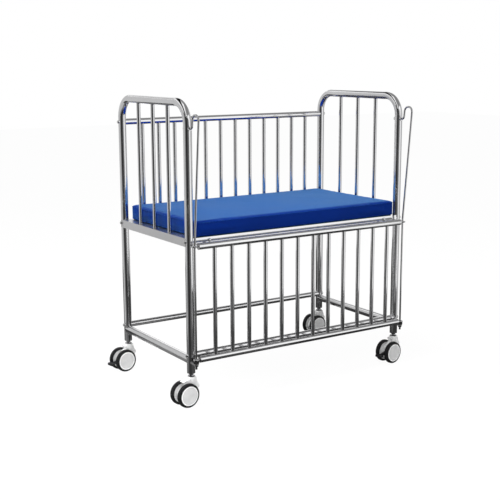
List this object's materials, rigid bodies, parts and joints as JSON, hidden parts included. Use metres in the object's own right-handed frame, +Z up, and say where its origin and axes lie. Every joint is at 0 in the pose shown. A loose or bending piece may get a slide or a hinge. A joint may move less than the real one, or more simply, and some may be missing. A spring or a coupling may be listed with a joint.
{
  "type": "hospital bassinet",
  "caption": "Polished steel tube paediatric crib with arched ends, a barred back, a barred drop side on bent guide rods, a blue vinyl mattress and twin-wheel casters.",
  "frame": {"origin": "centre of the bounding box on X and Y, on the floor", "axes": "+X from head end to foot end, +Y from the drop side to the fixed back, +Z up"},
  "size_m": [1.1472, 0.6616, 1.166],
  "materials": {
    "polished_steel": "polished stainless tube",
    "satin_steel": "satin stainless",
    "bright_steel": "bright plated",
    "blue_vinyl": "smooth coated vinyl cover",
    "grey_plastic": "moulded nylon",
    "black_plastic": "moulded nylon",
    "black_rubber": "moulded rubber",
    "black_tyre": "moulded tread"
  },
  "bodies": {
    "frame": {"head_frame_tube": "polished_steel", "foot_frame_tube": "polished_steel", "frame_elbows": "polished_steel", "head_frame_bars": "polished_steel", "foot_frame_bars": "polished_steel", "head_stretcher": "polished_steel", "foot_stretcher": "polished_steel", "front_stretcher": "polished_steel", "back_stretcher": "polished_steel", "back_top_rail": "polished_steel", "back_bars": "polished_steel", "deck_front_rail": "polished_steel", "deck_back_rail": "polished_steel", "head_deck_rail": "satin_steel", "foot_deck_rail": "satin_steel", "deck_cross_members": "satin_steel", "deck_panel": "satin_steel", "dome_screws": "bright_steel", "rail_plugs": "satin_steel", "guide_rod_head": "bright_steel", "guide_rod_foot": "bright_steel", "guide_rod_nuts": "bright_steel", "rod_foot_lugs": "satin_steel", "rod_buffers": "black_rubber", "rod_foot_nuts": "bright_steel", "leg_plugs": "satin_steel", "caster_stems": "bright_steel"},
    "lower_guides": {"drop_bottom_eyes": "bright_steel"},
    "drop_side": {"drop_top_rail": "polished_steel", "drop_bottom_rail": "polished_steel", "drop_bars": "polished_steel", "drop_rail_plugs": "satin_steel", "drop_top_eyes": "bright_steel"},
    "mattress": {"mattress": "blue_vinyl"},
    "front_head_near_wheel": {"front_head_near_hub": "grey_plastic", "front_head_near_tyre": "black_tyre"},
    "front_head_rear_wheel": {"front_head_rear_hub": "grey_plastic", "front_head_rear_tyre": "black_tyre"},
    "front_head_caster": {"front_head_caster_hood": "grey_plastic", "front_head_axle": "bright_steel"},
    "back_head_near_wheel": {"back_head_near_hub": "grey_plastic", "back_head_near_tyre": "black_tyre"},
    "back_head_rear_wheel": {"back_head_rear_hub": "grey_plastic", "back_head_rear_tyre": "black_tyre"},
    "back_head_caster": {"back_head_caster_hood": "grey_plastic", "back_head_axle": "bright_steel"},
    "back_head_pedal": {"back_head_brake_pedal": "black_plastic"},
    "front_foot_near_wheel": {"front_foot_near_hub": "grey_plastic", "front_foot_near_tyre": "black_tyre"},
    "front_foot_rear_wheel": {"front_foot_rear_hub": "grey_plastic", "front_foot_rear_tyre": "black_tyre"},
    "front_foot_caster": {"front_foot_caster_hood": "grey_plastic", "front_foot_axle": "bright_steel"},
    "front_foot_pedal": {"front_foot_brake_pedal": "black_plastic"},
    "back_foot_near_wheel": {"back_foot_near_hub": "grey_plastic", "back_foot_near_tyre": "black_tyre"},
    "back_foot_rear_wheel": {"back_foot_rear_hub": "grey_plastic", "back_foot_rear_tyre": "black_tyre"},
    "back_foot_caster": {"back_foot_caster_hood": "grey_plastic", "back_foot_axle": "bright_steel"}
  },
  "joints": [
    {"name": "side_lift", "type": "slide", "parent": "frame", "child": "lower_guides", "axis": [0, 0, 1], "range_m": [0, 0.42]},
    {"name": "side_tilt", "type": "hinge", "parent": "lower_guides", "child": "drop_side", "pos_m": [0.03419, -0.28569, 0.1865], "axis": [1, 0, 0], "range_deg": [0, 4.95]},
    {"name": "mattress_lift", "type": "slide", "parent": "frame", "child": "mattress", "axis": [0, 0, 1], "range_m": [0, 0.3]},
    {"name": "front_head_swivel", "type": "hinge", "parent": "frame", "child": "front_head_caster", "pos_m": [-0.47481, -0.24469, 0.1], "axis": [0, 0, 1], "continuous": true},
    {"name": "front_head_near_roll", "type": "hinge", "parent": "front_head_caster", "child": "front_head_near_wheel", "pos_m": [-0.50351, -0.2723, 0.047], "axis": [-0.0872, 0.9962, 0], "continuous": true},
    {"name": "front_head_rear_roll", "type": "hinge", "parent": "front_head_caster", "child": "front_head_rear_wheel", "pos_m": [-0.50787, -0.22249, 0.047], "axis": [-0.0872, 0.9962, 0], "continuous": true},
    {"name": "back_head_swivel", "type": "hinge", "parent": "frame", "child": "back_head_caster", "pos_m": [-0.47481, 0.29531, 0.1], "axis": [0, 0, 1], "continuous": true},
    {"name": "back_head_near_roll", "type": "hinge", "parent": "back_head_caster", "child": "back_head_near_wheel", "pos_m": [-0.50253, 0.26672, 0.047], "axis": [-0.1219, 0.9925, 0], "continuous": true},
    {"name": "back_head_rear_roll", "type": "hinge", "parent": "back_head_caster", "child": "back_head_rear_wheel", "pos_m": [-0.50862, 0.31634, 0.047], "axis": [-0.1219, 0.9925, 0], "continuous": true},
    {"name": "back_head_brake", "type": "hinge", "parent": "back_head_caster", "child": "back_head_pedal", "pos_m": [-0.52245, 0.28946, 0.045], "axis": [0.1219, -0.9925, 0], "range_deg": [0, 10]},
    {"name": "front_foot_swivel", "type": "hinge", "parent": "frame", "child": "front_foot_caster", "pos_m": [0.54319, -0.24469, 0.1], "axis": [0, 0, 1], "continuous": true},
    {"name": "front_foot_near_roll", "type": "hinge", "parent": "front_foot_caster", "child": "front_foot_near_wheel", "pos_m": [0.51597, -0.27376, 0.047], "axis": [-0.1392, 0.9903, 0], "continuous": true},
    {"name": "front_foot_rear_roll", "type": "hinge", "parent": "front_foot_caster", "child": "front_foot_rear_wheel", "pos_m": [0.50901, -0.22425, 0.047], "axis": [-0.1392, 0.9903, 0], "continuous": true},
    {"name": "front_foot_brake", "type": "hinge", "parent": "front_foot_caster", "child": "front_foot_pedal", "pos_m": [0.49566, -0.25137, 0.045], "axis": [0.1392, -0.9903, 0], "range_deg": [0, 10]},
    {"name": "back_foot_swivel", "type": "hinge", "parent": "frame", "child": "back_foot_caster", "pos_m": [0.54319, 0.29531, 0.1], "axis": [0, 0, 1], "continuous": true},
    {"name": "back_foot_near_roll", "type": "hinge", "parent": "back_foot_caster", "child": "back_foot_near_wheel", "pos_m": [0.51497, 0.26721, 0.047], "axis": [-0.1045, 0.9945, 0], "continuous": true},
    {"name": "back_foot_rear_roll", "type": "hinge", "parent": "back_foot_caster", "child": "back_foot_rear_wheel", "pos_m": [0.50975, 0.31693, 0.047], "axis": [-0.1045, 0.9945, 0], "continuous": true}
  ],
  "couplings": [
    {"joint": "side_tilt", "follows": "side_lift", "rad_per_m": 0.203}
  ]
}
